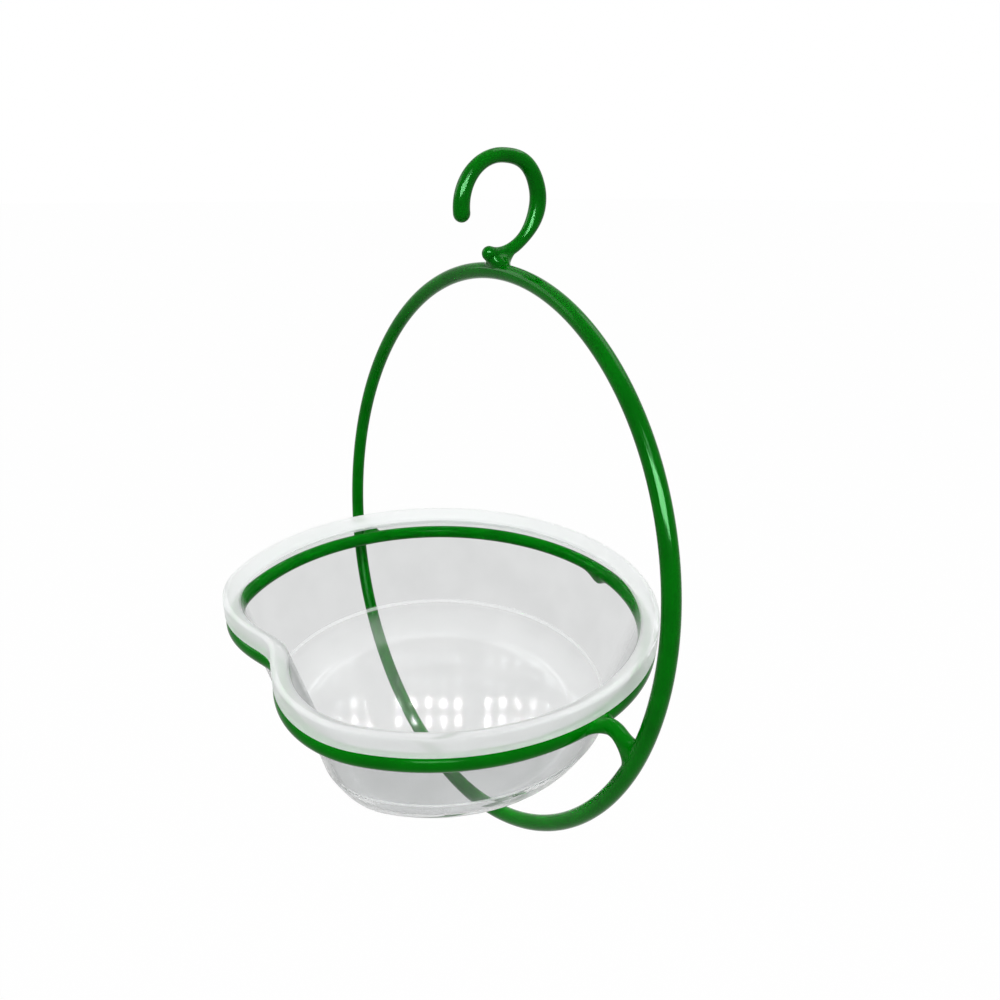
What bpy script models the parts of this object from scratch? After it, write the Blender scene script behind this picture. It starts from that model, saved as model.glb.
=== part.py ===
# Hanging bird feeder cup: a clear notched dish carried by a ring of coated wire, which two short
# arms join to a large upright hoop with a hanging hook on top. Metres, +Z up. The notch faces -Y.
# The origin is the point under the top of the hook where the feeder hangs.

import math

import bmesh
import bpy
from mathutils import Matrix, Vector

MM = 0.001

# Clearances
FIT_GAP = 0.3 * MM            # between pieces that rest on each other
BOND_GAP = 0.15 * MM          # between a steel core and the coat around it

# Wire of the hoop and of the cup ring
WIRE_DIAMETER = 4.0 * MM      # over the coat
CORE_DIAMETER = 2.6 * MM      # bare steel

# Hoop
HOOP_ROOM = 15.4 * MM         # its centre line outside the cup ring's, for the arms to span
HOOP_RISE = 18.8 * MM         # hoop centre above the ring plane, along the hoop
HOOP_LEAN = math.radians(6.2)  # the top of the hoop leans back, towards +Y

# Cup ring
RING_RADIUS = 57.6 * MM       # centre line
RING_FORWARD = 8.7 * MM       # ring centre in front of the hoop
NOTCH_DEPTH = 12.4 * MM
NOTCH_HALF_ANGLE = math.radians(44.0)
NOTCH_ROUNDING = 0.2          # share of the half angle that rounds the bottom of the notch

# Arms between the ring and the hoop
ARM_DIAMETER = 3.6 * MM
ARM_CORE_DIAMETER = 2.0 * MM
ARM_FLARE_DIAMETER = 4.0 * MM  # coat where it runs out onto the ring and the hoop
ARM_DROP = 1.6 * MM           # hoop end below the ring end
ARM_ARCH = 1.9 * MM           # rise of the arm's middle above the line between its ends

# Hook: angles round its bend are from +Y, through the top
HOOK_RADIUS = 11.2 * MM       # centre line of the bend
HOOK_FORWARD = 0.6 * MM       # centre of the bend in front of the hoop
HOOK_SHOULDER = 0.45 * MM     # the bend stands out by this where it turns down at the back
HOOK_SHOULDER_ANGLE = math.radians(62.0)
HOOK_SHOULDER_SPREAD = math.radians(34.0)
HOOK_PRESS = 1.5 * MM         # the lower back of the bend is flatter by this
HOOK_PRESS_ANGLE = math.radians(-38.0)
HOOK_PRESS_SPREAD = math.radians(84.0)
HOOK_TIP_DIAMETER = 4.2 * MM
HOOK_TOP_DIAMETER = 3.5 * MM
HOOK_BACK_DIAMETER = 4.3 * MM
HOOK_SHANK_DIAMETER = 3.1 * MM
HOOK_FOOT_DIAMETER = 3.3 * MM
HOOK_CORE_DIAMETER = 2.0 * MM
HOOK_TIP_ANGLE = math.radians(193.0)
HOOK_TOP_ANGLE = math.radians(100.0)
HOOK_BACK_ANGLE = math.radians(4.0)
HOOK_SHANK_ANGLE = math.radians(-50.0)
HOOK_FOOT_ANGLE = math.radians(-102.0)  # the foot runs on past the hoop to end in front of it
WELD_DIAMETER = 1.4 * MM
FILLET_WIDTH = 7.0 * MM       # coat built up around the crossing, along the hoop
FILLET_LENGTH = 9.4 * MM      # the same, across the hoop
FILLET_HEIGHT = 4.6 * MM
FILLET_BACK = 1.1 * MM        # middle of the build-up behind the hoop

# Cup
CUP_CLEARANCE = 0.8 * MM      # between the cup's wall and the ring
CUP_DEPTH = 30.7 * MM         # underside of the floor below the ring plane
CUP_WALL = 1.4 * MM
WALL_RUN = 6.5 * MM           # the sloping wall draws in by this from the ring plane to its foot
HEEL_HEIGHT = 8.4 * MM        # foot of the wall above the underside
HEEL_RUN = 4.7 * MM           # the heel draws in by this from the foot of the wall to the underside
HEEL_FILLET = 3.0 * MM        # inside radius between the wall and the heel
FLOOR_FILLET = 6.8 * MM
LIP_OVERHANG = 2.2 * MM       # lip's outer face beyond the ring's centre line
LIP_HEIGHT = 5.5 * MM
LIP_FLARE = 2.2 * MM          # the wall bends outwards over this height before the lip turns down
LIP_WALL = 1.3 * MM
LIP_FILLET = 1.2 * MM

# Facets
HOOP_STEPS = 60
RING_STEPS = 72
HOOK_STEPS = 30
ARM_STEPS = 7
CUP_STEPS = RING_STEPS        # so that the facets of the notch lie alike in both
COAT_SIDES = 10
CORE_SIDES = 6
FILLET_STEPS = 3

WIRE_RADIUS = WIRE_DIAMETER / 2
HOOP_RADIUS = RING_RADIUS + HOOP_ROOM
HOOP_TOP = HOOP_RISE + HOOP_RADIUS
FOOT_HEIGHT = HOOP_TOP + WIRE_RADIUS + FIT_GAP + HOOK_FOOT_DIAMETER / 2
WALL_RADIUS = RING_RADIUS - WIRE_RADIUS - CUP_CLEARANCE
HEEL_RADIUS = WALL_RADIUS - WALL_RUN    # foot of the sloping wall, outside
FLOOR_RADIUS = HEEL_RADIUS - HEEL_RUN   # flat underside before its edge is rounded
LIP_RADIUS = RING_RADIUS + LIP_OVERHANG
LIP_SEAT = WIRE_RADIUS + FIT_GAP
LIP_TOP = LIP_SEAT + LIP_HEIGHT


def clear_scene():
    for obj in list(bpy.data.objects):
        bpy.data.objects.remove(obj, do_unlink=True)


def new_collection(name):
    collection = bpy.data.collections.new(name)
    bpy.context.scene.collection.children.link(collection)
    return collection


def new_material(name, colour, roughness, metallic=0.0, transmission=0.0):
    material = bpy.data.materials.new(name)
    material.use_nodes = True
    shader = material.node_tree.nodes["Principled BSDF"]
    shader.inputs["Base Color"].default_value = (*colour, 1.0)
    shader.inputs["Roughness"].default_value = roughness
    shader.inputs["Metallic"].default_value = metallic
    shader.inputs["Transmission Weight"].default_value = transmission
    return material


def new_empty(name, parent=None):
    empty = bpy.data.objects.new(name, None)
    empty.parent = parent
    empty.empty_display_size = 10 * MM
    parts.objects.link(empty)
    return empty


def add_part(name, mesh, parent, material):
    mesh.name = name
    mesh.materials.clear()
    mesh.materials.append(material)
    mesh.shade_smooth()
    mesh.set_sharp_from_angle(angle=math.radians(40))
    obj = bpy.data.objects.new(name, mesh)
    obj.parent = parent
    parts.objects.link(obj)
    return obj


def add_cutter(name, mesh, parent):
    mesh.name = name
    obj = bpy.data.objects.new(name, mesh)
    obj.parent = parent
    obj.hide_render = True
    obj.display_type = "WIRE"
    cutters.objects.link(obj)
    return obj


def cut(obj, *tools):
    for tool in tools:
        modifier = obj.modifiers.new("Cut by " + tool.name, "BOOLEAN")
        modifier.operation = "DIFFERENCE"
        modifier.solver = "EXACT"
        modifier.object = tool


def mesh_of(obj):
    """The evaluated shape of a helper object as a welded mesh. The helper is removed."""
    bpy.context.scene.collection.objects.link(obj)
    graph = bpy.context.evaluated_depsgraph_get()
    mesh = bpy.data.meshes.new_from_object(obj.evaluated_get(graph))
    bpy.data.objects.remove(obj, do_unlink=True)
    shape = bmesh.new()
    shape.from_mesh(mesh)
    bmesh.ops.remove_doubles(shape, verts=shape.verts, dist=0.001 * MM)
    bmesh.ops.recalc_face_normals(shape, faces=shape.faces)
    shape.to_mesh(mesh)
    shape.free()
    return mesh


def wire(points, radii, sides, closed=False):
    """A round wire along the points, with a radius for each point."""
    curve = bpy.data.curves.new("wire", "CURVE")
    curve.dimensions = "3D"
    curve.bevel_depth = 1.0
    curve.bevel_resolution = (sides - 4) // 2
    curve.use_fill_caps = not closed
    spline = curve.splines.new("POLY")
    spline.points.add(len(points) - 1)
    for knot, point, radius in zip(spline.points, points, radii):
        knot.co = (*point, 1.0)
        knot.radius = radius
    spline.use_cyclic_u = closed
    return mesh_of(bpy.data.objects.new("wire", curve))


def hoop(radius, sides):
    """A round hoop in the XZ plane, centred over the ring plane."""
    bpy.ops.mesh.primitive_torus_add(
        major_radius=HOOP_RADIUS,
        minor_radius=radius,
        major_segments=HOOP_STEPS,
        minor_segments=sides,
    )
    obj = bpy.context.object
    mesh = obj.data
    bpy.data.objects.remove(obj, do_unlink=True)
    mesh.transform(Matrix.Translation((0, 0, HOOP_RISE)) @ Matrix.Rotation(math.pi / 2, 4, "X"))
    return mesh


def cylinder(radius, depth, centre, segments=12):
    shape = bmesh.new()
    bmesh.ops.create_cone(
        shape,
        cap_ends=True,
        segments=segments,
        radius1=radius,
        radius2=radius,
        depth=depth,
        matrix=Matrix.Translation(centre),
    )
    mesh = bpy.data.meshes.new("cylinder")
    shape.to_mesh(mesh)
    shape.free()
    return mesh


def notch(angle):
    """Share of the notch's depth at an angle from the front: 1 in its middle, 0 past its ends."""
    angle = abs((angle + math.pi) % (2 * math.pi) - math.pi)
    if angle >= NOTCH_HALF_ANGLE:
        return 0.0
    across = angle / NOTCH_HALF_ANGLE
    rounded = math.hypot(across, NOTCH_ROUNDING) - NOTCH_ROUNDING
    return (1 - rounded / (math.hypot(1, NOTCH_ROUNDING) - NOTCH_ROUNDING)) ** 1.9


def ring(radius, sides):
    """The notched ring of the cup, flat in the ring plane, around its own centre."""
    points = []
    for step in range(RING_STEPS):
        angle = 2 * math.pi * step / RING_STEPS
        reach = RING_RADIUS - NOTCH_DEPTH * notch(angle)
        points.append((reach * math.sin(angle), -reach * math.cos(angle), 0))
    return wire(points, [radius] * RING_STEPS, sides, closed=True)


def arm_line(side, start_gap, end_gap):
    """Points of an arm in the hoop plane, from the ring's centre line to the hoop's.

    The gaps are left off its two ends. Seen along the hoop's axis the arm is a low arch.
    """
    ring_end = Vector((math.sqrt(RING_RADIUS**2 - RING_FORWARD**2), 0, 0))
    hoop_end = Vector((0, 0, -ARM_DROP))
    hoop_end.x = math.sqrt(HOOP_RADIUS**2 - (HOOP_RISE + ARM_DROP) ** 2)
    run = (hoop_end - ring_end).length
    points = []
    for step in range(ARM_STEPS):
        along = start_gap + (run - start_gap - end_gap) * step / (ARM_STEPS - 1)
        point = ring_end.lerp(hoop_end, along / run)
        point.z += ARM_ARCH * math.sin(math.pi * along / run) ** 2
        points.append((side * point.x, 0, point.z))
    return points


def arm_coat_radii():
    """Thin in the middle, running out wider at both ends."""
    radii = []
    for step in range(ARM_STEPS):
        end = abs(2 * step / (ARM_STEPS - 1) - 1)
        radii.append((ARM_DIAMETER + (ARM_FLARE_DIAMETER - ARM_DIAMETER) * end**3) / 2)
    return radii


def lobe(angle, middle, spread):
    """A smooth hump over an angle: 1 in its middle, 0 past its ends."""
    away = abs(angle - middle) / spread
    return math.cos(math.pi / 2 * away) ** 2 if away < 1 else 0.0


def hook_reach(angle):
    """Distance of the hook's centre line from the middle of its bend."""
    shoulder = HOOK_SHOULDER * lobe(angle, HOOK_SHOULDER_ANGLE, HOOK_SHOULDER_SPREAD)
    return HOOK_RADIUS + shoulder - HOOK_PRESS * lobe(angle, HOOK_PRESS_ANGLE, HOOK_PRESS_SPREAD)


def hook_radius(angle):
    """Coat radius along the hook. The coat has run thicker and thinner, with easy changes between."""
    stations = (
        (HOOK_TIP_ANGLE, HOOK_TIP_DIAMETER),
        (HOOK_TOP_ANGLE, HOOK_TOP_DIAMETER),
        (HOOK_BACK_ANGLE, HOOK_BACK_DIAMETER),
        (HOOK_SHANK_ANGLE, HOOK_SHANK_DIAMETER),
        (HOOK_FOOT_ANGLE, HOOK_FOOT_DIAMETER),
    )
    diameter = HOOK_TIP_DIAMETER
    for (start, _), (end, wanted) in zip(stations, stations[1:]):
        ease = min(max((start - angle) / (start - end), 0), 1)
        diameter += (wanted - diameter) * ease * ease * (3 - 2 * ease)
    return diameter / 2


def hook_angles(tip_gap=0.0, foot_gap=0.0):
    first = HOOK_TIP_ANGLE - tip_gap / HOOK_RADIUS
    last = HOOK_FOOT_ANGLE + foot_gap / HOOK_RADIUS
    return [first + (last - first) * step / HOOK_STEPS for step in range(HOOK_STEPS + 1)]


def hook_line(angles):
    """Points of the hook from its tip over the top and down to its foot, square to the hoop."""
    points = []
    for angle in angles:
        reach = hook_reach(angle)
        points.append((0, reach * math.cos(angle) - HOOK_FORWARD, reach * math.sin(angle) + HOOK_CENTRE))
    return points


def hook_coat(extra=0.0):
    """The coated hook, with a rounded tip and a rounded foot."""
    angles = hook_angles()
    points = [Vector(point) for point in hook_line(angles)]
    radii = [hook_radius(angle) + extra for angle in angles]
    tip_way = (points[0] - points[1]).normalized()
    foot_way = (points[-1] - points[-2]).normalized()
    tip, foot = points[0], points[-1]
    tip_radius, foot_radius = radii[0], radii[-1]
    for turn in (45, 75):
        out, across = math.sin(math.radians(turn)), math.cos(math.radians(turn))
        points.insert(0, tip + tip_way * tip_radius * out)
        radii.insert(0, tip_radius * across)
        points.append(foot + foot_way * foot_radius * out)
        radii.append(foot_radius * across)
    return wire(points, radii, COAT_SIDES)


def rounded_corner(before, corner, after, radius):
    """Points of an arc that rounds a corner of a profile. A radius too large for it is limited."""
    to_before, to_after = (before - corner), (after - corner)
    half = to_before.angle(to_after) / 2
    reach = min(radius / math.tan(half), 0.45 * to_before.length, 0.45 * to_after.length)
    radius = reach * math.tan(half)
    middle = corner + (to_before.normalized() + to_after.normalized()).normalized() * radius / math.sin(half)
    first = corner + to_before.normalized() * reach - middle
    last = corner + to_after.normalized() * reach - middle
    points = []
    for step in range(FILLET_STEPS + 1):
        share = step / FILLET_STEPS
        points.append(middle + first.slerp(last, share) * radius)
    return points


def rounded_profile(corners):
    """A profile from (point, radius) corners. A radius of 0 keeps the corner sharp."""
    points = []
    for index, (corner, radius) in enumerate(corners):
        if radius > 0:
            before, after = corners[index - 1][0], corners[index + 1][0]
            points.extend(rounded_corner(before, corner, after, radius))
        else:
            points.append(corner)
    return points


def inner_corner(before, corner, after):
    """Where the inside of the shell turns: both sides of an outside corner moved in by the wall."""
    way_in, way_out = (corner - before).normalized(), (after - corner).normalized()
    inward = (Vector((-way_in.y, way_in.x)) + Vector((-way_out.y, way_out.x))).normalized()
    return corner - inward * CUP_WALL / math.cos(way_in.angle(way_out) / 2)


def cup_profile():
    """Half section of the cup as (radius, height), from the middle of the floor inside, up, over
    the lip and down the outside to the middle of the underside."""
    level = Vector((WALL_RADIUS, 0))
    heel = Vector((HEEL_RADIUS, HEEL_HEIGHT - CUP_DEPTH))
    edge = Vector((FLOOR_RADIUS, -CUP_DEPTH))
    middle = Vector((0, -CUP_DEPTH))
    inner_heel = inner_corner(level, heel, edge)
    inner_edge = inner_corner(heel, edge, middle)
    wall_way = (level - heel).normalized()
    inner_level = inner_heel - wall_way * inner_heel.y / wall_way.y
    crease = inner_level + wall_way * (LIP_TOP - LIP_FLARE) / wall_way.y
    crown = Vector((LIP_RADIUS - LIP_WALL, LIP_TOP))
    flare_way = (crown - crease).normalized()
    # the lip's underside lies a lip wall below the flare, from the outside of the wall to the skirt
    under = crown - Vector((0, LIP_WALL / flare_way.x))
    neck = heel + wall_way * (under - heel).cross(flare_way) / wall_way.cross(flare_way)
    return rounded_profile([
        (Vector((0, inner_edge.y)), 0),
        (inner_edge, FLOOR_FILLET),
        (inner_heel, HEEL_FILLET),
        (inner_level, 0),
        (crease, LIP_FILLET),
        (crown, LIP_FILLET),
        (Vector((LIP_RADIUS, LIP_TOP)), LIP_FILLET),
        (Vector((LIP_RADIUS, LIP_SEAT)), 0),
        (Vector((crown.x, LIP_SEAT)), 0),
        (under, 0),
        (neck, 0),
        (level, 0),
        (heel, HEEL_FILLET + CUP_WALL),
        (edge, FLOOR_FILLET + CUP_WALL),
        (middle, 0),
    ])


def cup_shell():
    """The turned dish, with the notch pressed into its front.

    The notch is as deep at the floor as at the lip. The wall only draws in below the ring, so the
    cup lifts straight out.
    """
    profile = cup_profile()
    mesh = bpy.data.meshes.new("cup")
    mesh.from_pydata(
        [(point.x, 0, point.y) for point in profile],
        [(index, index + 1) for index in range(len(profile) - 1)],
        [],
    )
    turned = bpy.data.objects.new("cup", mesh)
    screw = turned.modifiers.new("Turn", "SCREW")
    screw.steps = CUP_STEPS
    screw.render_steps = CUP_STEPS
    screw.use_merge_vertices = True
    screw.merge_threshold = 0.01 * MM
    shell = mesh_of(turned)
    for vertex in shell.vertices:
        x, y, z = vertex.co
        reach = math.hypot(x, y)
        push = NOTCH_DEPTH * notch(math.atan2(x, -y))
        if reach > push:
            vertex.co = (x * (1 - push / reach), y * (1 - push / reach), z)
    return shell


def hang_point():
    """Where a bar touches the inside of the hook, in the ring's frame."""
    sine, cosine = math.sin(HOOP_LEAN), math.cos(HOOP_LEAN)
    y = -HOOK_FORWARD * cosine + HOOK_CENTRE * sine
    z = HOOK_FORWARD * sine + HOOK_CENTRE * cosine
    upright = math.pi / 2 + HOOP_LEAN
    return Vector((0, y, z + hook_reach(upright) - hook_radius(upright)))


# Middle of the hook's bend over the ring plane, with the foot resting on the hoop
HOOK_CENTRE = FOOT_HEIGHT + hook_reach(-math.pi / 2)


clear_scene()
parts = new_collection("bird_feeder_cup")
cutters = new_collection("bird_feeder_cup_cutters")

steel = new_material("bright_steel_wire", (0.55, 0.56, 0.57), 0.35, metallic=1.0)
coat = new_material("green_dipped_coat", (0.0, 0.127, 0.002), 0.2)
clear = new_material("clear_moulded_plastic", (0.85, 0.87, 0.87), 0.08, transmission=0.9)

# The feeder's frame has its datum where the hoop's plane crosses the ring's plane.
feeder = new_empty("feeder")
feeder.location = -hang_point()
hoop_plane = new_empty("hoop_plane", feeder)
hoop_plane.rotation_euler = (-HOOP_LEAN, 0, 0)
ring_centre = new_empty("ring_centre", feeder)
ring_centre.location = (0, -RING_FORWARD, 0)

core_radius = CORE_DIAMETER / 2
bore_radius = core_radius + BOND_GAP
hook_core_radius = HOOK_CORE_DIAMETER / 2
arm_core_radius = ARM_CORE_DIAMETER / 2

# Bores that the cores lie in, and the outsides that the coat's run-outs are fitted to
hoop_bore = add_cutter("hoop_bore", hoop(bore_radius, CORE_SIDES), hoop_plane)
hoop_fit = add_cutter("hoop_fit", hoop(WIRE_RADIUS + FIT_GAP, COAT_SIDES), hoop_plane)
ring_bore = add_cutter("ring_bore", ring(bore_radius, CORE_SIDES), ring_centre)
ring_fit = add_cutter("ring_fit", ring(WIRE_RADIUS + FIT_GAP, COAT_SIDES), ring_centre)
hook_fit = add_cutter("hook_fit", hook_coat(FIT_GAP), hoop_plane)
hook_bore_line = hook_line(hook_angles())
hook_bore_radii = [hook_core_radius + BOND_GAP] * len(hook_bore_line)
hook_bore = add_cutter("hook_bore", wire(hook_bore_line, hook_bore_radii, CORE_SIDES), hoop_plane)

# Hoop
hoop_core = add_part("hoop_core", hoop(core_radius, CORE_SIDES), hoop_plane, steel)
hoop_coat = add_part("hoop_coat", hoop(WIRE_RADIUS, COAT_SIDES), hoop_plane, coat)
cut(hoop_coat, hoop_bore)

# Ring
ring_core = add_part("ring_core", ring(core_radius, CORE_SIDES), ring_centre, steel)
ring_coat = add_part("ring_coat", ring(WIRE_RADIUS, COAT_SIDES), ring_centre, coat)
cut(ring_coat, ring_bore)

# Arms: each core is butted onto the steel of the ring and of the hoop, through windows in their coats
for side, word in ((-1, "left"), (1, "right")):
    whole = arm_line(side, 0.0, 0.0)
    bore = wire(whole, [arm_core_radius + BOND_GAP] * ARM_STEPS, CORE_SIDES)
    arm_bore = add_cutter("arm_bore_" + word, bore, hoop_plane)
    seat = core_radius + BOND_GAP
    core = wire(arm_line(side, seat, seat), [arm_core_radius] * ARM_STEPS, CORE_SIDES)
    add_part("arm_core_" + word, core, hoop_plane, steel)
    sleeve = wire(whole, arm_coat_radii(), COAT_SIDES)
    arm_coat = add_part("arm_coat_" + word, sleeve, hoop_plane, coat)
    cut(arm_coat, ring_fit, hoop_fit, arm_bore)
    cut(hoop_coat, arm_bore)
    cut(ring_coat, arm_bore)

# Hook: its foot lies across the top of the hoop and is spot welded there, through both coats
weld_low = HOOP_TOP + core_radius + BOND_GAP
weld_high = FOOT_HEIGHT - hook_core_radius - BOND_GAP
window = cylinder(
    WELD_DIAMETER / 2 + BOND_GAP,
    FOOT_HEIGHT - HOOP_TOP,
    (0, 0, (FOOT_HEIGHT + HOOP_TOP) / 2),
)
weld_window = add_cutter("weld_window", window, hoop_plane)
cut(hoop_coat, weld_window)
weld = cylinder(WELD_DIAMETER / 2, weld_high - weld_low, (0, 0, (weld_high + weld_low) / 2))
add_part("hook_weld", weld, hoop_plane, steel)
hook_core_line = hook_line(hook_angles(BOND_GAP, BOND_GAP))
hook_core_radii = [hook_core_radius] * len(hook_core_line)
add_part("hook_core", wire(hook_core_line, hook_core_radii, CORE_SIDES), hoop_plane, steel)
hook = add_part("hook_coat", hook_coat(), hoop_plane, coat)
cut(hook, hook_bore, weld_window)

# Coat built up around the crossing of the hook's foot and the hoop
build_up = bmesh.new()
bmesh.ops.create_uvsphere(build_up, u_segments=16, v_segments=10, radius=0.5)
bmesh.ops.scale(build_up, vec=(FILLET_WIDTH, FILLET_LENGTH, FILLET_HEIGHT), verts=build_up.verts)
build_up_place = (0, FILLET_BACK, (FOOT_HEIGHT + HOOP_TOP) / 2)
bmesh.ops.translate(build_up, vec=build_up_place, verts=build_up.verts)
fillet_mesh = bpy.data.meshes.new("hook_fillet")
build_up.to_mesh(fillet_mesh)
build_up.free()
fillet = add_part("hook_fillet", fillet_mesh, hoop_plane, coat)
cut(fillet, hoop_fit, hook_fit, weld_window)

# Cup, standing with its lip on the ring
add_part("cup", cup_shell(), ring_centre, clear)

bpy.context.view_layer.update()
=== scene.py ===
import bpy
import numpy as np
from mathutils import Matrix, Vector


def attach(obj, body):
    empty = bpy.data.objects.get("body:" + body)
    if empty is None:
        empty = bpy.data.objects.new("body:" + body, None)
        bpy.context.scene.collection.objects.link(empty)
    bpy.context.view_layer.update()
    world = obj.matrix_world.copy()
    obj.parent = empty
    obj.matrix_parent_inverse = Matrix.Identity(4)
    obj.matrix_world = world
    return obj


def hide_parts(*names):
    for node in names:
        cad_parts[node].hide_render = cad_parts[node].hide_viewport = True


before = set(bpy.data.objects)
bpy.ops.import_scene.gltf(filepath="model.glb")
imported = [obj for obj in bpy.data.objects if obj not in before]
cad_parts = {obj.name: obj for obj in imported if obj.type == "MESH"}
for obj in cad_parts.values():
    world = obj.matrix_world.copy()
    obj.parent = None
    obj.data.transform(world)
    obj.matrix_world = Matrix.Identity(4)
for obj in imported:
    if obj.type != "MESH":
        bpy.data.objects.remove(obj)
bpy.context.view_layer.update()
print("frame loaded:", len(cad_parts), "nodes")

mm = 0.001

# The hoop's plane leans back from the line where it crosses the level plane of the ring
feeder = {
    "crossing": (0.0, -10.9026, -115.3642),
    "lean": 6.2,            # degrees, top towards +Y
    "ringForward": 8.7,     # ring's centre in front of that line
}


# hoop plane to the feeder's axes: turn about X by the lean, then shift to the crossing
def fromHoopPlane(points):
    lean = np.radians(feeder["lean"])
    x, y, z = np.moveaxis(np.asarray(points, float), -1, 0)
    turned = np.stack((x, y * np.cos(lean) + z * np.sin(lean), z * np.cos(lean) - y * np.sin(lean)), -1)
    return turned + feeder["crossing"]


# ring plane to the feeder's axes: only a shift
def fromRingPlane(points):
    return np.asarray(points, float) + feeder["crossing"] - np.array((0, feeder["ringForward"], 0))


def unit(vectors):
    return vectors / np.linalg.norm(vectors, axis=-1, keepdims=True)


# 0 to 1 with a level start and end
def ease(x):
    x = np.clip(x, 0, 1)
    return x * x * (3 - 2 * x)


# skin of a wire: centre line + radius * (cos v * side + sin v * up), v once round the wire
def wireSkin(line, up, radius, sides, endless):
    way = np.roll(line, -1, 0) - np.roll(line, 1, 0) if endless else np.gradient(line, axis=0)
    side = unit(np.cross(up, way))
    v = np.linspace(0, 2 * np.pi, sides, endpoint=False)[None, :, None]
    reach = np.broadcast_to(np.asarray(radius, float), (len(line),)).reshape(-1, 1, 1)
    return line[:, None] + reach * (np.cos(v) * side[:, None] + np.sin(v) * np.asarray(up, float))


# fillet between two rings of points: a cubic that leaves one along its way and arrives along the other's
def bridge(first, firstWay, last, lastWay, steps):
    s = np.linspace(0, 1, steps)[:, None, None]
    return ((1 + 2 * s) * (1 - s) ** 2 * first + s * (1 - s) ** 2 * firstWay
            + s * s * (3 - 2 * s) * last + s * s * (s - 1) * lastWay)


# one piece from a grid of points: a quad to each cell, columns closed round, rows endless or closed by two poles
def pieceFromGrid(name, grid, endless, body, slot, material, *nodes):
    rows, columns = grid.shape[:2]
    cells = np.arange(rows * columns).reshape(rows, columns)
    here, there = (cells, np.roll(cells, -1, 0)) if endless else (cells[:-1], cells[1:])
    quads = np.stack((here, np.roll(here, -1, 1), np.roll(there, -1, 1), there), -1).reshape(-1, 4)
    points = grid.reshape(-1, 3) * mm
    caps = np.zeros((0, 3), int)
    if not endless:
        points = np.vstack((points, grid[0].mean(0) * mm, grid[-1].mean(0) * mm))
        first, last, pole = cells[0], cells[-1], np.full(columns, rows * columns)
        caps = np.concatenate((np.stack((np.roll(first, -1), first, pole), -1),
                               np.stack((last, np.roll(last, -1), pole + 1), -1)))
    triangles = np.concatenate((quads[:, :3], quads[:, [0, 2, 3]], caps))
    a, b, c = (points - points.mean(0))[triangles].swapaxes(0, 1)
    if np.einsum("ij,ij->i", a, np.cross(b, c)).sum() < 0:      # faces point outwards
        quads, caps = quads[:, ::-1], caps[:, ::-1]
    mesh = bpy.data.meshes.new(name)
    mesh.from_pydata(points.tolist(), [], quads.tolist() + caps.tolist())
    mesh.shade_smooth()
    mesh.materials.append(material)
    piece = bpy.data.objects.new(name, mesh)
    bpy.context.scene.collection.objects.link(piece)
    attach(piece, body)
    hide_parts(*nodes)
    print("piece", name, len(triangles), "triangles")
    return piece


# sRGB hex to linear
def hexColour(text):
    srgb = np.array([int(text[i:i + 2], 16) / 255 for i in (1, 3, 5)])
    return (*np.where(srgb <= 0.04045, srgb / 12.92, ((srgb + 0.055) / 1.055) ** 2.4).tolist(), 1.0)


# adds a node: text keys in settings are its own properties or input names, links are input name to output socket
def addNode(tree, kind, settings={}, links={}):
    node = tree.nodes.new(kind)
    for key, value in settings.items():
        if isinstance(key, str) and hasattr(node, key):
            setattr(node, key, value)
        else:
            node.inputs[key].default_value = value
    for key, source in links.items():
        tree.links.new(source, node.inputs[key])
    return node


def newMaterial(name):
    material = bpy.data.materials.new(name)
    material.use_nodes = True
    tree = material.node_tree
    tree.nodes.clear()
    place = addNode(tree, "ShaderNodeTexCoord").outputs["Object"]
    return material, tree, place


# PVC plastisol, dipped and baked: a thick glossy skin that runs, so lights wander a little along the wire
plastisol = {
    "green": "#007006",
    "thinGreen": "#006405",     # where the coat is thin over the steel
    "patch": 9.0,               # mm, size of thick and thin patches
    "patchRamp": (0.32, 0.62),  # share of the noise at which it is all thin and all thick
    "run": 4.5,                 # mm, length of the waves that the dip leaves
    "runHeight": 0.4,           # mm
    "runStrength": 0.1,
    "grit": 0.9,                # mm, drawn coarser than the real speckle so that it shows
    "gritRange": (0.3, 0.7),    # share of the noise over which the roughness climbs
    "roughness": (0.1, 0.13),
    "ior": 1.18,                # lower than bare PVC: the baked skin mirrors little of a white room
    "sheen": "#A0FFB3",         # lights on it are mint, as the dye lies close under the gloss
}


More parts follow.
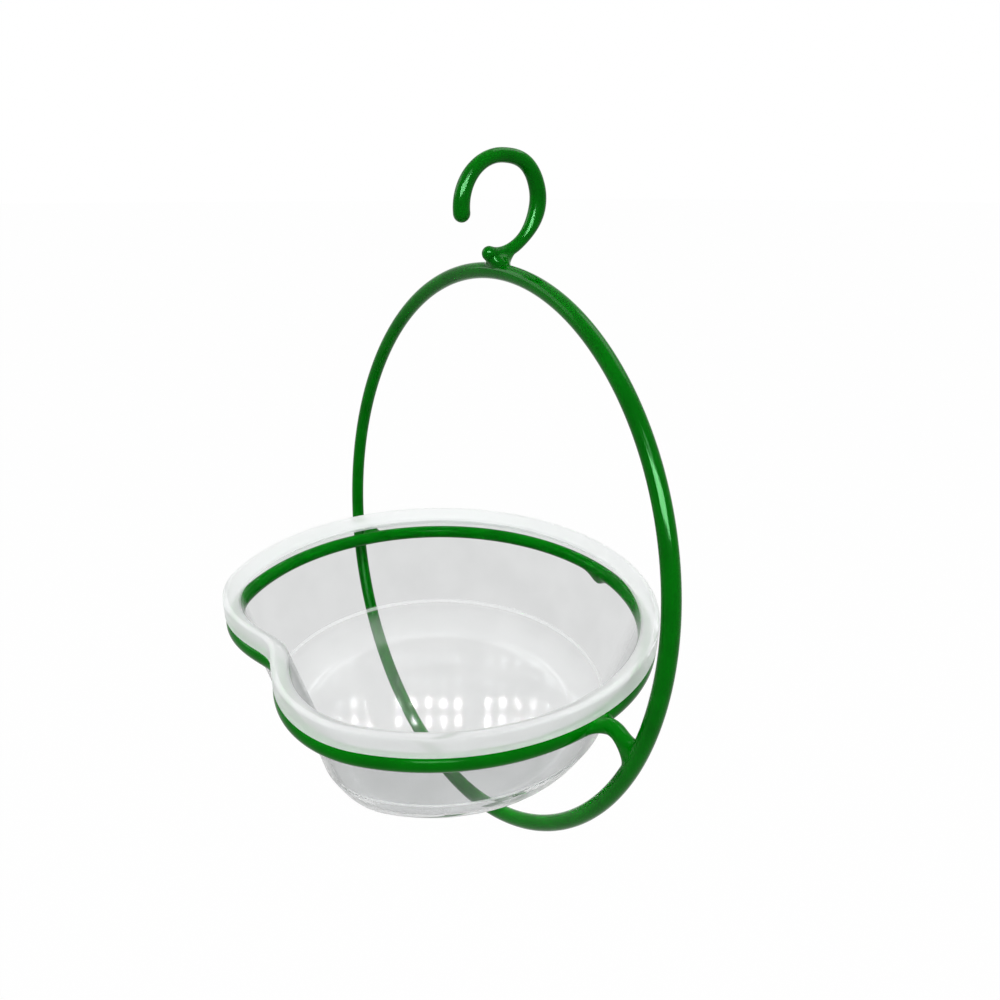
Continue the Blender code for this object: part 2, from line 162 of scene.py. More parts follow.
def dippedPlastisol():
    material, tree, place = newMaterial("plastisolDippedGreen")
    patches = addNode(tree, "ShaderNodeTexNoise",
                      {"Scale": 1 / (plastisol["patch"] * mm), "Detail": 3.0, "Roughness": 0.55}, {"Vector": place})
    colour = addNode(tree, "ShaderNodeValToRGB", {}, {"Fac": patches.outputs["Fac"]})
    thin, thick = colour.color_ramp.elements
    thin.position, thick.position = plastisol["patchRamp"]
    thin.color, thick.color = hexColour(plastisol["thinGreen"]), hexColour(plastisol["green"])
    grit = addNode(tree, "ShaderNodeTexNoise",
                   {"Scale": 1 / (plastisol["grit"] * mm), "Detail": 2.0}, {"Vector": place})
    (fine, coarse), (smooth, rough) = plastisol["gritRange"], plastisol["roughness"]
    gloss = addNode(tree, "ShaderNodeMapRange",
                    {"From Min": fine, "From Max": coarse, "To Min": smooth, "To Max": rough},
                    {"Value": grit.outputs["Fac"]})
    runs = addNode(tree, "ShaderNodeTexNoise",
                   {"Scale": 1 / (plastisol["run"] * mm), "Detail": 1.0}, {"Vector": place})
    waves = addNode(tree, "ShaderNodeBump",
                    {"Strength": plastisol["runStrength"], "Distance": plastisol["runHeight"] * mm},
                    {"Height": runs.outputs["Fac"]})
    skin = addNode(tree, "ShaderNodeBsdfPrincipled",
                   {"IOR": plastisol["ior"], "Specular Tint": hexColour(plastisol["sheen"])},
                   {"Base Color": colour.outputs["Color"], "Roughness": gloss.outputs["Result"],
                    "Normal": waves.outputs["Normal"]})
    addNode(tree, "ShaderNodeOutputMaterial", {}, {"Surface": skin.outputs["BSDF"]})
    return material


# Polystyrene, injection moulded: clear and a little grey under a hard gloss, with faint flow waves.
# The piece's haze attribute says how milky it is: the wall clear, heel and floor hazier, the thick lip white. The lip's
# white and the milky lines at the heel's crease and the floor's edge are painted reflection.
styrene = {
    "clear": "#DEDFDF",
    "grey": "#D9DADA",
    "milkAndPaintedReflection": "#F6F7F7",
    "flow": 14.0,               # mm, width of the flow waves
    "flowRamp": (0.35, 0.65),
    "flowHeight": 0.5,          # mm
    "flowStrength": 0.012,
    "scuff": 1.6,               # mm, drawn coarser than real handling marks
    "scuffRoughness": 0.02,
    "allMilk": 0.5,             # haze at which the colour is all milk
    "blurHaze": (0.05, 0.3),    # between these hazes the roughness climbs
    "roughness": (0.02, 0.3),
    "paintedRimStart": 0.66,           # painted reflection whitens from here on: 0 faces the eye, 1 is edge on
    "paintedRimReflection": 0.9,                 # how white the painted reflection is edge on
    "shade": "#F2F4F4",         # what a lamp loses at each surface
    "ior": 1.05,                # a thin sheet hardly bends what is seen through it
}


def mouldedStyrene():
    material, tree, place = newMaterial("polystyreneMouldedClear")
    hazeAndPaintedReflection = addNode(tree, "ShaderNodeAttribute", {"attribute_name": "hazeAndPaintedReflection"})
    flow = addNode(tree, "ShaderNodeTexNoise",
                   {"Scale": 1 / (styrene["flow"] * mm), "Detail": 2.0}, {"Vector": place})
    tint = addNode(tree, "ShaderNodeValToRGB", {}, {"Fac": flow.outputs["Fac"]})
    low, high = tint.color_ramp.elements
    low.position, high.position = styrene["flowRamp"]
    low.color, high.color = hexColour(styrene["grey"]), hexColour(styrene["clear"])
    # milk colour: real haze on the heel and floor, painted reflection on the lip, skirt, heel line and floor edge
    milkAndReflectionShare = addNode(tree, "ShaderNodeMapRange", {"From Max": styrene["allMilk"]}, {"Value": hazeAndPaintedReflection.outputs["Fac"]})
    colour = addNode(tree, "ShaderNodeMix", {"data_type": "RGBA", 7: hexColour(styrene["milkAndPaintedReflection"])},
                     {0: milkAndReflectionShare.outputs["Result"], 6: tint.outputs["Color"]})
    scuff = addNode(tree, "ShaderNodeTexNoise",
                    {"Scale": 1 / (styrene["scuff"] * mm), "Detail": 4.0}, {"Vector": place})
    (blurFrom, blurTo), (smooth, rough) = styrene["blurHaze"], styrene["roughness"]
    blur = addNode(tree, "ShaderNodeMapRange",
                   {"From Min": blurFrom, "From Max": blurTo, "To Min": smooth, "To Max": rough},
                   {"Value": hazeAndPaintedReflection.outputs["Fac"]})
    gloss = addNode(tree, "ShaderNodeMath", {"operation": "MULTIPLY_ADD", 1: styrene["scuffRoughness"]},
                    {0: scuff.outputs["Fac"], 2: blur.outputs["Result"]})
    # painted reflection: seen edge on, the clear sheet turns to its pale diffuse colour in place of the white room it
    # would mirror
    facing = addNode(tree, "ShaderNodeLayerWeight", {"Blend": 0.5})
    paintedRimReflection = addNode(tree, "ShaderNodeMapRange", {"From Min": styrene["paintedRimStart"], "To Max": styrene["paintedRimReflection"]},
                  {"Value": facing.outputs["Facing"]})
    # white: the larger of the haze and the painted reflection edge on
    white = addNode(tree, "ShaderNodeMath", {"operation": "MAXIMUM"},
                    {0: hazeAndPaintedReflection.outputs["Fac"], 1: paintedRimReflection.outputs["Result"]})
    clearness = addNode(tree, "ShaderNodeMath", {"operation": "SUBTRACT", 0: 1.0}, {1: white.outputs["Value"]})
    waves = addNode(tree, "ShaderNodeBump",
                    {"Strength": styrene["flowStrength"], "Distance": styrene["flowHeight"] * mm},
                    {"Height": flow.outputs["Fac"]})
    shell = addNode(tree, "ShaderNodeBsdfPrincipled", {"IOR": styrene["ior"]},
                    {"Base Color": colour.outputs[2], "Roughness": gloss.outputs["Value"],
                     "Normal": waves.outputs["Normal"], "Transmission Weight": clearness.outputs["Value"]})
    light = addNode(tree, "ShaderNodeLightPath")
    passing = addNode(tree, "ShaderNodeBsdfTransparent", {"Color": hexColour(styrene["shade"])})    # for the lamps
    mixed = addNode(tree, "ShaderNodeMixShader", {},
                    {0: light.outputs["Is Shadow Ray"], 1: shell.outputs["BSDF"], 2: passing.outputs["BSDF"]})
    addNode(tree, "ShaderNodeOutputMaterial", {}, {"Surface": mixed.outputs["Shader"]})
    return material


# Low carbon steel, cold drawn: grey, with fine draw lines that broaden its shine
drawnSteel = {
    "bright": "#C2C4C6",
    "dull": "#9A9DA0",
    "line": 0.25,               # mm between draw lines, coarser than the real ones
    "roughness": (0.3, 0.5),
}


def drawnSteelWire():
    material, tree, place = newMaterial("steelDrawnWire")
    lines = addNode(tree, "ShaderNodeTexNoise",
                    {"Scale": 1 / (drawnSteel["line"] * mm), "Detail": 2.0}, {"Vector": place})
    colour = addNode(tree, "ShaderNodeValToRGB", {}, {"Fac": lines.outputs["Fac"]})
    low, high = colour.color_ramp.elements
    low.color, high.color = hexColour(drawnSteel["dull"]), hexColour(drawnSteel["bright"])
    smooth, rough = drawnSteel["roughness"]
    gloss = addNode(tree, "ShaderNodeMapRange", {"To Min": smooth, "To Max": rough}, {"Value": lines.outputs["Fac"]})
    skin = addNode(tree, "ShaderNodeBsdfPrincipled", {"Metallic": 1.0},
                   {"Base Color": colour.outputs["Color"], "Roughness": gloss.outputs["Result"]})
    addNode(tree, "ShaderNodeOutputMaterial", {}, {"Surface": skin.outputs["BSDF"]})
    return material


greenCoat, clearCup, steelWire = dippedPlastisol(), mouldedStyrene(), drawnSteelWire()
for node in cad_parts.values():
    if node.name in ("hoop_core", "ring_core", "arm_core_left", "arm_core_right", "hook_core", "hook_weld"):
        node.data.materials.clear()
        node.data.materials.append(steelWire)
print("materials made")


wire = {"radius": 1.975, "swell": 0.015, "sides": 28}      # over the coat, a hair inside the CAD

hoop = {
    "radius": 73.0,
    "rise": 18.8,               # its middle above the ring plane, along its own plane
    "swells": (5, 3),           # waves round it, one kind on the other
    "swellStart": 0.7,
    "steps": 288,
}


# hoop: a circle in its plane, its skin swelling a little where the dip ran
def hoopGrid():
    u = np.linspace(0, 2 * np.pi, hoop["steps"], endpoint=False)
    line = np.stack((hoop["radius"] * np.cos(u), 0 * u, hoop["rise"] + hoop["radius"] * np.sin(u)), -1)
    many, few = hoop["swells"]
    radius = wire["radius"] + wire["swell"] * np.sin(many * u + hoop["swellStart"]) * np.sin(few * u)
    return fromHoopPlane(wireSkin(line, (0, 1, 0), radius, wire["sides"], True))


pieceFromGrid("hoopCoat", hoopGrid(), True, "frame", "green_coat", greenCoat, "hoop_coat")

ring = {
    "radius": 57.55,
    "wire": 2.02,               # radius over the coat, which hangs a little below the steel
    "sag": 0.4,
    "notchDepth": 12.4,
    "notchHalf": 44.0,          # degrees either side of the front
    "notchRounding": 0.2,
    "notchPower": 1.9,
    "swells": 7,                # waves round it
    "steps": 480,
    "lumpAngle": 178.0,         # where the ring's ends are welded, at the back
    "lumpReach": 2.4,           # how far the lump of coat hangs below the ring there
    "lumpHalf": 3.4,
    "lumpPower": 1.6,           # higher keeps it to the underside
}


# share of the notch: 1 in the middle of the front, falling to 0 at its ends along a rounded cone
def notchShare(angle):
    across = np.abs((angle + np.pi) % (2 * np.pi) - np.pi) / np.radians(ring["notchHalf"])
    rounded = np.hypot(across, ring["notchRounding"]) - ring["notchRounding"]
    full = np.hypot(1, ring["notchRounding"]) - ring["notchRounding"]
    return np.clip(1 - rounded / full, 0, 1) ** ring["notchPower"]


# ring: a level circle whose reach is cut back by the notch, with a lump of coat hanging from the weld
def ringGrid():
    angle = np.linspace(0, 2 * np.pi, ring["steps"], endpoint=False)
    reach = ring["radius"] - ring["notchDepth"] * notchShare(angle)
    line = np.stack((reach * np.sin(angle), -reach * np.cos(angle), 0 * angle - ring["sag"]), -1)
    radius = ring["wire"] + wire["swell"] * np.sin(ring["swells"] * angle)
    grid = wireSkin(line, (0, 0, 1), radius, wire["sides"], True)
    along = (angle - np.radians(ring["lumpAngle"])) * ring["radius"] / ring["lumpHalf"]
    below = np.clip(-(grid - line[:, None])[..., 2] / ring["wire"], 0, 1)
    grid[..., 2] -= ring["lumpReach"] * np.exp(-along**2)[:, None] * below**ring["lumpPower"]
    return fromRingPlane(grid)


pieceFromGrid("ringCoat", ringGrid(), True, "frame", "green_coat", greenCoat, "ring_coat")

arm = {
    "radius": 1.9,
    "drop": 1.6,                # hoop end below the ring end
    "arch": 1.9,
    "bare": (0.38, 0.58),       # share of the arm between its two fillets
    "alongRing": (5.2, 3.6),    # fillet's foot on the ring: mm to the front and to the back
    "roundRing": (82.0, 62.0),  # degrees below and above
    "alongHoop": 4.4,
    "roundHoop": 72.0,
    "inside": 0.9,              # a second, smaller foot gives the way the fillet leaves the wire
    "footPull": 9.0,            # how far the fillet keeps to that way
    "tubePull": 3.0,            # mm that it keeps to the arm's way
    "sunk": 0.3,                # its hidden end, shrunk towards the wire's middle
    "tubeSteps": 14,
    "filletSteps": 12,
    "sides": 40,
}


# patch on a wire: middle line point + wire radius * (cos turn * out + sin turn * up)
def onRing(alongRing, turn):
    start = np.arctan2(np.sqrt(ring["radius"]**2 - feeder["ringForward"]**2), -feeder["ringForward"])
    angle = start + alongRing / ring["radius"]
    out = np.stack((np.sin(angle), -np.cos(angle), 0 * angle), -1)
    up = np.array((0.0, 0.0, 1.0))
    middle = ring["radius"] * out - ring["sag"] * up
    return fromRingPlane(middle + ring["wire"] * (np.cos(turn)[..., None] * out + np.sin(turn)[..., None] * up))


def onHoop(alongHoop, turn, start, facing):
    angle = start + alongHoop / hoop["radius"]
    out = np.stack((np.cos(angle), 0 * angle, np.sin(angle)), -1)
    middle = hoop["radius"] * out + np.array((0, 0, hoop["rise"]))
    back = np.array((0.0, 1.0, 0.0))
    around = np.cos(turn)[..., None] * facing * out + np.sin(turn)[..., None] * back
    return fromHoopPlane(middle + wire["radius"] * around)


# arm: a fillet off the ring, a low arch of thin wire, and a fillet onto the hoop
def armGrid(side):
    phi = np.linspace(0, 2 * np.pi, arm["sides"], endpoint=False)
    upShare, backShare = np.cos(phi), np.sin(phi)
    ringEnd = np.sqrt(ring["radius"]**2 - feeder["ringForward"]**2)
    hoopEnd = np.sqrt(hoop["radius"]**2 - (hoop["rise"] + arm["drop"])**2)
    t = np.linspace(*arm["bare"], arm["tubeSteps"])
    height = -arm["drop"] * t + arm["arch"] * np.sin(np.pi * t)**2
    line = np.stack((ringEnd + (hoopEnd - ringEnd) * t, 0 * t, height), -1)
    way = unit(np.gradient(line, axis=0))
    up = np.cross(way, (0, 1, 0))
    tube = line[:, None] + arm["radius"] * (upShare[:, None] * up[:, None] + backShare[:, None] * np.array((0, 1.0, 0)))
    tube = fromHoopPlane(tube)
    alongRing = np.where(backShare < 0, *arm["alongRing"]) * backShare
    roundRing = np.radians(np.where(upShare < 0, *arm["roundRing"])) * upShare
    sizes = (1.0, arm["inside"])
    ringFoot, ringInside = [onRing(alongRing * k, roundRing * k) for k in sizes]
    hoopStart = np.arctan2(-hoop["rise"] - arm["drop"], hoopEnd)
    alongHoop, roundHoop = arm["alongHoop"] * upShare, np.radians(arm["roundHoop"]) * backShare
    hoopFoot, hoopInside = [onHoop(alongHoop * k, roundHoop * k, hoopStart, -1) for k in sizes]
    leave, arrive = unit((tube[1] - tube[0]).mean(0)), unit((tube[-1] - tube[-2]).mean(0))
    offRing = bridge(ringFoot, (ringInside - ringFoot) * arm["footPull"],
                     tube[0], leave * arm["tubePull"], arm["filletSteps"])
    ontoHoop = bridge(tube[-1], arrive * arm["tubePull"],
                      hoopFoot, (hoopFoot - hoopInside) * arm["footPull"], arm["filletSteps"])
    inRing = fromRingPlane((ringEnd, feeder["ringForward"], 0))
    inHoop = fromHoopPlane((hoopEnd, 0, -arm["drop"]))
    ringEndCap = inRing + arm["sunk"] * (ringFoot - inRing)
    hoopEndCap = inHoop + arm["sunk"] * (hoopFoot - inHoop)
    grid = np.concatenate((ringEndCap[None], offRing, tube[1:-1], ontoHoop, hoopEndCap[None]))
    return grid * np.array((side, 1, 1))


pieceFromGrid("armCoatLeft", armGrid(-1), False, "frame", "green_coat", greenCoat, "arm_coat_left")
pieceFromGrid("armCoatRight", armGrid(1), False, "frame", "green_coat", greenCoat, "arm_coat_right")

hook = {
    "bend": 11.2,               # radius of the middle line
    "forward": 0.6,
    "height": 106.474,          # middle of the bend above the ring plane, along the hoop plane
    "shoulder": (0.45, 62.0, 34.0),     # stands out by mm, round an angle, over a spread
    "press": (1.5, -38.0, 84.0),        # the lower back is flatter
    "coat": ((193.0, 2.04), (100.0, 1.66), (4.0, 2.09), (-50.0, 1.52), (-102.0, 1.6)),      # angle, radius
    "knob": 0.15,               # the foot's end swells by this
    "knobLength": 1.7,
    "endTurns": (6.0, 84.0, 9),     # rows of the round ends: degrees from, to, how many
    "steps": 170,
    "sides": 28,
}


# a smooth hump over an angle: cosine squared, 0 past its spread
def lobe(theta, height, middle, spread):
    away = np.clip(np.abs(np.degrees(theta) - middle) / spread, 0, 1)
    return height * np.cos(np.pi / 2 * away)**2


# middle line of the hook: a bend square to the hoop, its reach shaped by a shoulder and a pressed back
def hookLine(theta):
    reach = hook["bend"] + lobe(theta, *hook["shoulder"]) - lobe(theta, *hook["press"])
    return np.stack((0 * theta, reach * np.cos(theta) - hook["forward"], reach * np.sin(theta) + hook["height"]), -1)


# radius of the hook's coat: eases from each station to the next
def hookRadius(theta):
    radius = hook["coat"][0][1]
    for (start, _), (end, wanted) in zip(hook["coat"], hook["coat"][1:]):
        radius = radius + (wanted - radius) * ease((start - np.degrees(theta)) / (start - end))
    return radius


# hook: wire on its bend, from the tip over the top to the foot, with round ends and a small knob on the foot
def hookGrid():
    first, last = np.radians(hook["coat"][0][0]), np.radians(hook["coat"][-1][0])
    theta = np.linspace(first, last, hook["steps"])
    radius = hookRadius(theta) + hook["knob"] * np.exp(-((theta - last) * hook["bend"] / hook["knobLength"])**2)
    line = hookLine(theta)
    turn = np.radians(np.linspace(*hook["endTurns"]))[:, None]
    tip = line[0] + unit(line[0] - line[1]) * radius[0] * np.cos(turn)
    foot = line[-1] + unit(line[-1] - line[-2]) * radius[-1] * np.cos(turn[::-1])
    skin = np.concatenate((radius[0] * np.sin(turn[:, 0]), radius, radius[-1] * np.sin(turn[::-1, 0])))
    return fromHoopPlane(wireSkin(np.concatenate((tip, line, foot)), (1, 0, 0), skin, hook["sides"], False))


pieceFromGrid("hookCoat", hookGrid(), False, "frame", "green_coat", greenCoat, "hook_coat")

neck = {
    "alongHoop": 4.7,
    "roundHoop": (75.0, 92.0),      # degrees down the front and the back of the hoop
    "alongFoot": (3.0, 5.2),        # mm forward and back under the foot
    "roundFoot": 100.0,
    "draw": 4.0,                    # how slowly the web leaves each wire
    "patches": (1.0, 0.9, 0.3),     # the foot of the web, a smaller one that gives its way, and its hidden end
    "sunk": 0.6,
    "steps": 16,
    "sides": 48,
}


# neck: coat that runs from a patch on top of the hoop up to a patch under the hook's foot, drawn in between
def neckGrid():
    phi = np.linspace(0, 2 * np.pi, neck["sides"], endpoint=False)
    back = np.sin(phi)
    onTop = np.radians(np.where(back < 0, *neck["roundHoop"])) * back
    under = np.where(back < 0, *neck["alongFoot"]) * back
    low = [onHoop(-neck["alongHoop"] * k * np.cos(phi), onTop * k, np.pi / 2, 1) for k in neck["patches"]]

    def onFoot(k):
        theta = under * k / hook["bend"] - np.pi / 2
        out = np.stack((0 * theta, np.cos(theta), np.sin(theta)), -1)
        turn = (np.radians(neck["roundFoot"]) * k * np.cos(phi))[:, None]
        around = np.cos(turn) * out + np.sin(turn) * np.array((1.0, 0, 0))
        return fromHoopPlane(hookLine(theta) + hookRadius(theta)[:, None] * around)

    high = [onFoot(k) for k in neck["patches"]]
    web = bridge(low[0], (low[1] - low[0]) * neck["draw"], high[0], (high[0] - high[1]) * neck["draw"], neck["steps"])
    sunk = np.array((0, 0, neck["sunk"]))
    return np.concatenate((low[2][None] - sunk, web, high[2][None] + sunk))


pieceFromGrid("hookNeck", neckGrid(), False, "frame", "green_coat", greenCoat, "hook_fillet")


cup = {
    "wallRadius": 54.8,         # outside, at the ring plane
    "depth": 30.7,
    "wall": 1.1,
    "heelRadius": 48.3,
    "heelHeight": 8.4,
    "heelFillet": 2.0,
    "floorRadius": 43.6,
    "floorFillet": 6.8,
    "lipRadius": 59.75,
    "lipSeat": 2.3,
    "lipTop": 7.8,
    "lipFlare": 2.2,            # the wall bends outwards over this height before the lip turns down
    "lipWall": 1.3,
    "lipBead": 0.49,            # rounding of the lip's top, as a share of its wall
    "lipEdge": 0.4,             # rounding of the lip's lower edges
    "lipRoot": 0.5,             # rounding under the lip
    "creaseFillet": 1.2,
    "pole": 1.0,                # radius that closes the floor's middle
    "notchMost": 0.6,           # the notch takes at most this share of a small radius
    "gather": 0.35,             # columns stand closer together in the notch
    "steps": 300,
    "arcSteps": 7,
    "rowGap": 0.8,              # between rows of points along the section
    "lineHalf": 0.9,            # a painted reflection, drawn as a milky line, fades out over this either side of the heel's crease
    # how milky each part is, from 0 to 1: real haze on the heel and floor, painted reflection on the edge, line, lip
    # and skirt
    "hazeAndPaintedReflection": {"wall": 0.0, "heel": 0.015, "floor": 0.05, "edge": 0.1, "line": 0.5, "lip": 0.6, "skirt": 0.4},
}


# rounded corner of a profile: an arc that touches both sides of the corner
def roundedCorner(before, corner, after, radius, steps):
    if radius == 0:
        return corner[None]
    back, on = unit(before - corner), unit(after - corner)
    half = np.arccos(np.clip(back @ on, -1, 1)) / 2
    middle = corner + unit(back + on) * radius / np.sin(half)
    first, last = corner + back * radius / np.tan(half) - middle, corner + on * radius / np.tan(half) - middle
    spread = np.pi - 2 * half
    s = np.linspace(0, 1, steps)[:, None]
    return middle + (np.sin((1 - s) * spread) * first + np.sin(s * spread) * last) / np.sin(spread)


# corner of the inside: both sides of an outside corner moved in by the wall
def innerCorner(before, corner, after):
    inWay, outWay = unit(corner - before), unit(after - corner)
    inward = unit(np.array((-inWay[1] - outWay[1], inWay[0] + outWay[0])))
    return corner - inward * cup["wall"] / np.cos(np.arccos(np.clip(inWay @ outWay, -1, 1)) / 2)


# half section of the cup: up the inside, out and over the lip, down the outside, with every corner rounded.
# Its third column is the haze with the painted reflection, which goes straight from corner to corner.
def cupSection():
    level = np.array((cup["wallRadius"], 0.0))
    heel = np.array((cup["heelRadius"], cup["heelHeight"] - cup["depth"]))
    edge = np.array((cup["floorRadius"], -cup["depth"]))
    middle = np.array((cup["pole"], -cup["depth"]))
    inHeel, inEdge = innerCorner(level, heel, edge), innerCorner(heel, edge, middle)
    wallUp, heelUp = unit(level - heel), unit(heel - edge)
    crease = inHeel + wallUp * (cup["lipTop"] - cup["lipFlare"] - inHeel[1]) / wallUp[1]
    crown = np.array((cup["lipRadius"] - cup["lipWall"], cup["lipTop"]))
    shoulder = np.array((cup["lipRadius"], cup["lipTop"]))
    skirtOut, skirtIn = np.array((cup["lipRadius"], cup["lipSeat"])), np.array((crown[0], cup["lipSeat"]))
    flareWay = unit(crown - crease)
    under = crown - np.array((0, cup["lipWall"] / flareWay[0]))         # the lip's underside follows its flare
    root = heel + wallUp * np.linalg.solve(np.stack((wallUp, -flareWay), -1), under - heel)[0]
    bead, away, hazeAndPaintedReflection = cup["lipWall"] * cup["lipBead"], cup["lineHalf"], cup["hazeAndPaintedReflection"]
    inFillet, outFillet = cup["floorFillet"], cup["floorFillet"] + cup["wall"]
    # corner, radius of its rounding, haze with painted reflection
    corners = [
        (np.array((cup["pole"], inEdge[1])), 0, hazeAndPaintedReflection["floor"]),
        (inEdge - np.array((inFillet, 0)), 0, hazeAndPaintedReflection["floor"]),
        (inEdge, inFillet, hazeAndPaintedReflection["edge"]),
        (inHeel - heelUp * away, 0, hazeAndPaintedReflection["heel"]),
        (inHeel, cup["heelFillet"], hazeAndPaintedReflection["line"]),
        (inHeel + wallUp * away, 0, hazeAndPaintedReflection["wall"]),
        (crease - wallUp * away, 0, hazeAndPaintedReflection["wall"]),
        (crease, cup["creaseFillet"], hazeAndPaintedReflection["lip"]),
        (crown, bead, hazeAndPaintedReflection["lip"]),
        (shoulder, bead, hazeAndPaintedReflection["lip"]),
        (skirtOut, cup["lipEdge"], hazeAndPaintedReflection["skirt"]),
        (skirtIn, cup["lipEdge"], hazeAndPaintedReflection["skirt"]),
        (under, cup["lipRoot"], hazeAndPaintedReflection["skirt"]),
        (root, cup["lipRoot"], hazeAndPaintedReflection["skirt"]),
        (root - wallUp * away, 0, hazeAndPaintedReflection["wall"]),
        (heel + wallUp * away, 0, hazeAndPaintedReflection["wall"]),
        (heel, cup["heelFillet"] + cup["wall"], hazeAndPaintedReflection["heel"]),
        (heel - heelUp * away, 0, hazeAndPaintedReflection["heel"]),
        (edge, outFillet, hazeAndPaintedReflection["edge"]),
        (edge - np.array((outFillet, 0)), 0, hazeAndPaintedReflection["floor"]),
        (middle, 0, hazeAndPaintedReflection["floor"]),
    ]
    rounded = [corners[0][0][None]]
    rounded += [roundedCorner(before[0], corner[0], after[0], corner[1], cup["arcSteps"])
                for before, corner, after in zip(corners, corners[1:], corners[2:])]
    rounded.append(corners[-1][0][None])
    points = np.concatenate([np.insert(arc, 2, corner[2], axis=1) for arc, corner in zip(rounded, corners)])
    # more points along the straight runs
    steps = np.maximum(np.round(np.linalg.norm(np.diff(points[:, :2], axis=0), axis=1) / cup["rowGap"]).astype(int), 1)
    run = np.concatenate([i + np.arange(n) / n for i, n in enumerate(steps)] + [np.array([len(points) - 1.0])])
    return np.stack([np.interp(run, np.arange(len(points)), points[:, k]) for k in range(3)], -1)


# cup: the section turned round, and drawn in at the front by the notch, as deep at the floor as at the lip
def cupGrid(section):
    angle = np.linspace(0, 2 * np.pi, cup["steps"], endpoint=False)
    angle = angle - cup["gather"] * np.sin(angle)
    notch = ring["notchDepth"] * notchShare(angle)[None]
    reach = section[:, :1] - np.minimum(notch, section[:, :1] * cup["notchMost"])
    height = np.broadcast_to(section[:, 1:2], reach.shape)
    return fromRingPlane(np.stack((reach * np.sin(angle), -reach * np.cos(angle), height), -1))


section = cupSection()
cupPiece = pieceFromGrid("clearCup", cupGrid(section), False, "cup", "clear_cup", clearCup, "cup")
# haze per point, with painted reflection on the lip, skirt, heel line and floor edge
hazeAndPaintedReflectionRows = np.append(np.repeat(section[:, 2], cup["steps"]), section[[0, -1], 2])
cupPiece.data.attributes.new("hazeAndPaintedReflection", "FLOAT", "POINT").data.foreach_set("value", hazeAndPaintedReflectionRows.astype(np.float32))


studio = {
    "floorDrop": -0.42,         # metres
    "floorSize": 60.0,          # metres
    "floorColour": "#CFCFCD",
    "floorWhite": 0.99,         # share of plain white that the camera sees, the rest shows the shadow
    "fill": 0.30,               # world light on the object
    "aim": (0.0, -0.02, -0.09),     # where the lamps look, in metres
}


# 1 for a ray that shows the background: straight to the camera, mirrored, or through the cup
def seenRay(tree):
    light = addNode(tree, "ShaderNodeLightPath")
    seen = light.outputs["Is Camera Ray"]
    for ray in ("Is Transmission Ray", "Is Glossy Ray"):
        either = addNode(tree, "ShaderNodeMath", {"operation": "MAXIMUM"}, {0: seen, 1: light.outputs[ray]})
        seen = either.outputs["Value"]
    return seen


# floor: plain and pale, white where it is seen, mirrored or looked through but for the object's shadow
def studioFloor():
    half = studio["floorSize"] / 2
    mesh = bpy.data.meshes.new("studioFloor")
    corners = np.array(((-1, -1, 0), (1, -1, 0), (1, 1, 0), (-1, 1, 0))) * half + (0, 0, studio["floorDrop"])
    mesh.from_pydata(corners.tolist(), [], [(0, 1, 2, 3)])
    material, tree = newMaterial("matteFloor")[:2]
    share = addNode(tree, "ShaderNodeMath", {"operation": "MULTIPLY", 1: studio["floorWhite"]}, {0: seenRay(tree)})
    matte = addNode(tree, "ShaderNodeBsdfDiffuse", {"Color": hexColour(studio["floorColour"])})
    white = addNode(tree, "ShaderNodeEmission", {"Color": (1, 1, 1, 1), "Strength": 1.0})
    mixed = addNode(tree, "ShaderNodeMixShader", {},
                    {0: share.outputs["Value"], 1: matte.outputs["BSDF"], 2: white.outputs["Emission"]})
    addNode(tree, "ShaderNodeOutputMaterial", {}, {"Surface": mixed.outputs["Shader"]})
    mesh.materials.append(material)
    floor = bpy.data.objects.new("studioFloor", mesh)
    bpy.context.scene.collection.objects.link(floor)


# world: white where it is seen, mirrored or looked through, softer where it lights
def studioWorld():
    world = bpy.data.worlds.new("studioWorld")
    bpy.context.scene.world = world
    world.use_nodes = True
    tree = world.node_tree
    tree.nodes.clear()
    soft = addNode(tree, "ShaderNodeBackground", {"Color": (1, 1, 1, 1), "Strength": studio["fill"]})
    white = addNode(tree, "ShaderNodeBackground", {"Color": (1, 1, 1, 1), "Strength": 1.0})
    mixed = addNode(tree, "ShaderNodeMixShader", {},
                    {0: seenRay(tree), 1: soft.outputs["Background"], 2: white.outputs["Background"]})
    addNode(tree, "ShaderNodeOutputWorld", {}, {"Surface": mixed.outputs["Shader"]})


# soft boxes: place and size in metres, power in watts, and the one gloss it shows in, or None to light everything
softBoxes = {
    "key": ((0.64, -0.40, 0.62), (0.30, 0.30), 5.4, None),
    "fill": ((-0.55, -0.45, 0.35), (0.40, 0.40), 1.8, None),
    "back": ((0.0, 0.5, 0.75), (0.50, 0.50), 3.0, None),
    "panel": ((0.72, -0.52, 0.45), (1.05, 0.34), 85.0, "coats"),
}


# window behind the feeder: two rows of panes, in metres and watts, that the floor of the cup mirrors
window = {
    "ends": ((-0.775, 0.215), (-0.595, 0.510)),
    "heights": (0.449, 0.484),
    "columns": 16,
    "posts": (4, 10),           # columns without a pane
    "pane": (0.009, 0.015),
    "power": 0.2,
}


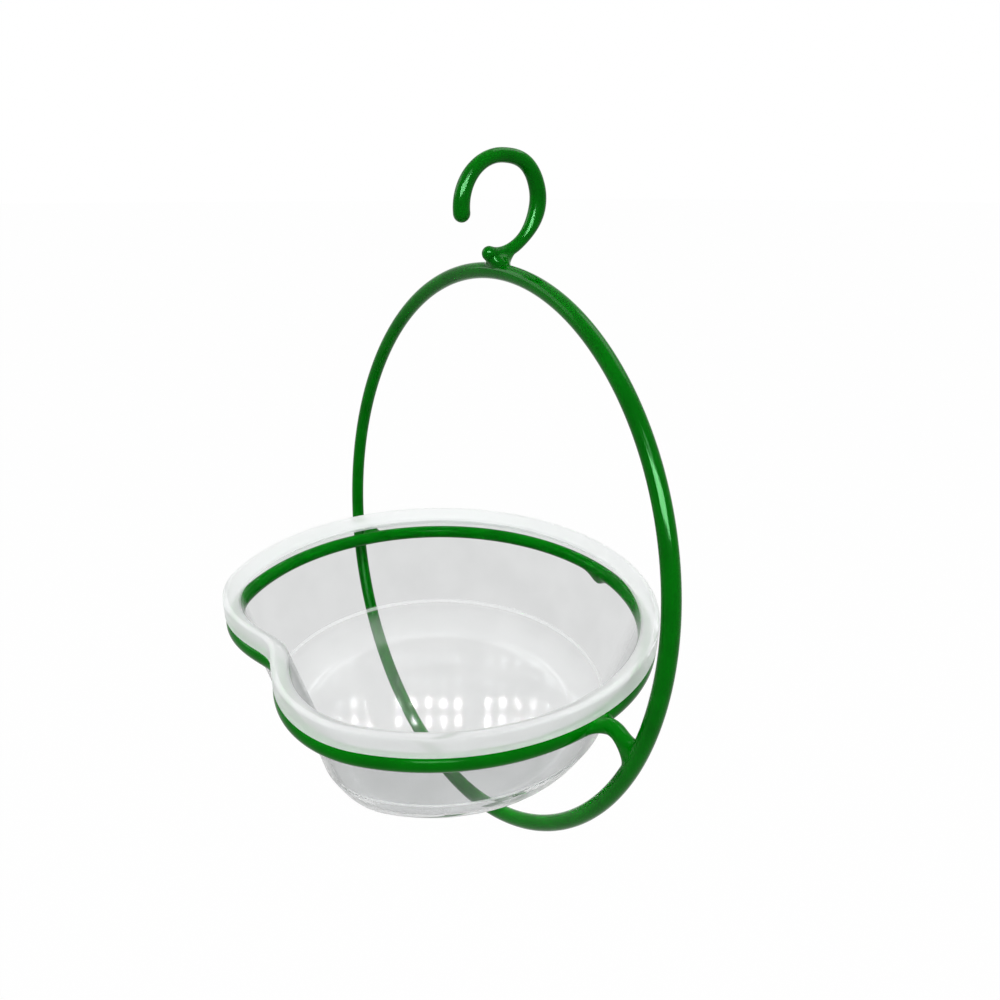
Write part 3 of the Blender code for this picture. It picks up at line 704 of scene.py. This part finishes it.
# lamps: every box and pane turned to the feeder, those for the gloss linked to the pieces that show them
def studioLamps():
    glossOnly = {"coats": ("hoopCoat", "hookCoat", "hookNeck"), "cup": ("clearCup",)}
    for key, names in glossOnly.items():
        glossOnly[key] = bpy.data.collections.new(key + "Gloss")
        for name in names:
            glossOnly[key].objects.link(bpy.data.objects[name])
    lamps = dict(softBoxes)
    for column in (k for k in range(window["columns"]) if k not in window["posts"]):
        x, y = Vector(window["ends"][0]).lerp(Vector(window["ends"][1]), column / (window["columns"] - 1))
        for row, height in enumerate(window["heights"]):
            lamps["pane%d_%d" % (column, row)] = ((x, y, height), window["pane"], window["power"], "cup")
    for name, (place, size, power, onlyFor) in lamps.items():
        lamp = bpy.data.lights.new(name, "AREA")
        lamp.shape, lamp.energy = "RECTANGLE", power
        lamp.size, lamp.size_y = size
        box = bpy.data.objects.new(name, lamp)
        box.location = place
        box.rotation_euler = (Vector(studio["aim"]) - Vector(place)).to_track_quat("-Z", "Y").to_euler()
        if onlyFor:
            box.visible_diffuse = box.visible_transmission = False
            box.light_linking.receiver_collection = glossOnly[onlyFor]
        bpy.context.scene.collection.objects.link(box)


camera = {
    "azimuth": 58.379,          # degrees round from the front
    "elevation": 22.219,
    "target": (0.0, -10.903, -82.257),
    "distance": 202.46,
    "lens": 27.36,
    "sensor": 36.0,
    "shift": 0.0375,
    "clip": (0.005, 50.0),      # metres
}


# camera: on a ray from its target, looking back along it
def photoCamera():
    azimuth, elevation = np.radians((camera["azimuth"], camera["elevation"]))
    away = Vector((np.sin(azimuth) * np.cos(elevation), -np.cos(azimuth) * np.cos(elevation), np.sin(elevation)))
    view = bpy.data.cameras.new("photoCamera")
    view.lens, view.sensor_width, view.shift_x = camera["lens"], camera["sensor"], camera["shift"]
    view.clip_start, view.clip_end = camera["clip"]
    eye = bpy.data.objects.new("photoCamera", view)
    eye.location = (Vector(camera["target"]) + away * camera["distance"]) * mm
    eye.rotation_euler = away.to_track_quat("Z", "Y").to_euler()
    bpy.context.scene.collection.objects.link(eye)
    bpy.context.scene.camera = eye


studioFloor()
studioWorld()
studioLamps()
photoCamera()
bpy.context.scene.view_settings.view_transform = "Standard"
print("studio set")
